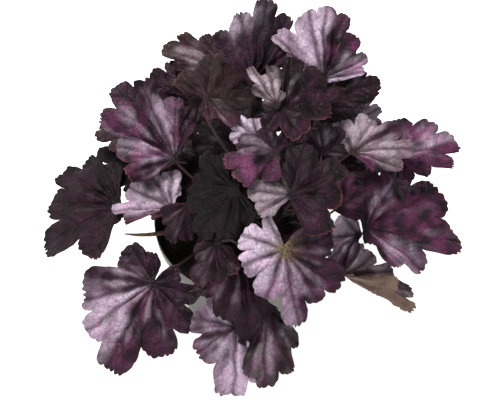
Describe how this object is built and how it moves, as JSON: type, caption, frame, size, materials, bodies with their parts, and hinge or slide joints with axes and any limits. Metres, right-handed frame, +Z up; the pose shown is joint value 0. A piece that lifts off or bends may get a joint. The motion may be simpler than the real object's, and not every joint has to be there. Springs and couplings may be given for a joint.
{
  "type": "heuchera plant",
  "caption": "Potted heuchera: a mound of lobed, ruffled dark purple and silver leaves on thin stalks, growing from a crown in a tapered round plastic pot.",
  "frame": {"origin": "centre of the pot's flat underside, on the floor", "axes": "+Z up along the pot's axis, the plant's front toward -Y"},
  "size_m": [0.4088, 0.3522, 0.2715],
  "materials": {
    "pot_plastic": "matt taupe outside, black inside",
    "potting_mix": "dark, crumbly",
    "leaf_silver": "satin, silver and lilac over purple",
    "leaf_dark": "satin, near-black purple",
    "leaf_young": "satin, brown-grey",
    "leaf_stalk": "pinkish, finely hairy",
    "dry_stalk": "dry, brown"
  },
  "bodies": {
    "root": {"pot": "pot_plastic", "soil": "potting_mix", "crown_and_stalks": "leaf_stalk", "withered_stalk": "dry_stalk", "leaf_01": "leaf_dark", "leaf_02": "leaf_dark", "leaf_03": "leaf_dark", "leaf_04": "leaf_dark", "leaf_05": "leaf_dark", "leaf_06": "leaf_silver", "leaf_07": "leaf_silver", "leaf_08": "leaf_dark", "leaf_09": "leaf_young", "leaf_10": "leaf_dark", "leaf_11": "leaf_dark", "leaf_12": "leaf_young", "leaf_13": "leaf_silver", "leaf_14": "leaf_silver", "leaf_15": "leaf_silver", "leaf_16": "leaf_silver", "leaf_17": "leaf_dark", "leaf_18": "leaf_dark", "leaf_43": "leaf_dark", "leaf_44": "leaf_dark", "leaf_45": "leaf_dark", "leaf_46": "leaf_dark", "leaf_19": "leaf_dark", "leaf_20": "leaf_dark", "leaf_21": "leaf_dark", "leaf_22": "leaf_dark", "leaf_23": "leaf_silver", "leaf_24": "leaf_dark", "leaf_25": "leaf_young", "leaf_26": "leaf_dark", "leaf_27": "leaf_dark", "leaf_28": "leaf_silver", "leaf_29": "leaf_young", "leaf_30": "leaf_silver", "leaf_31": "leaf_silver", "leaf_32": "leaf_silver", "leaf_33": "leaf_dark", "leaf_47": "leaf_dark", "leaf_34": "leaf_dark", "leaf_35": "leaf_silver", "leaf_36": "leaf_dark", "leaf_37": "leaf_dark", "leaf_38": "leaf_silver", "leaf_39": "leaf_silver", "leaf_40": "leaf_dark", "leaf_41": "leaf_young", "leaf_42": "leaf_young"}
  },
  "joints": []
}
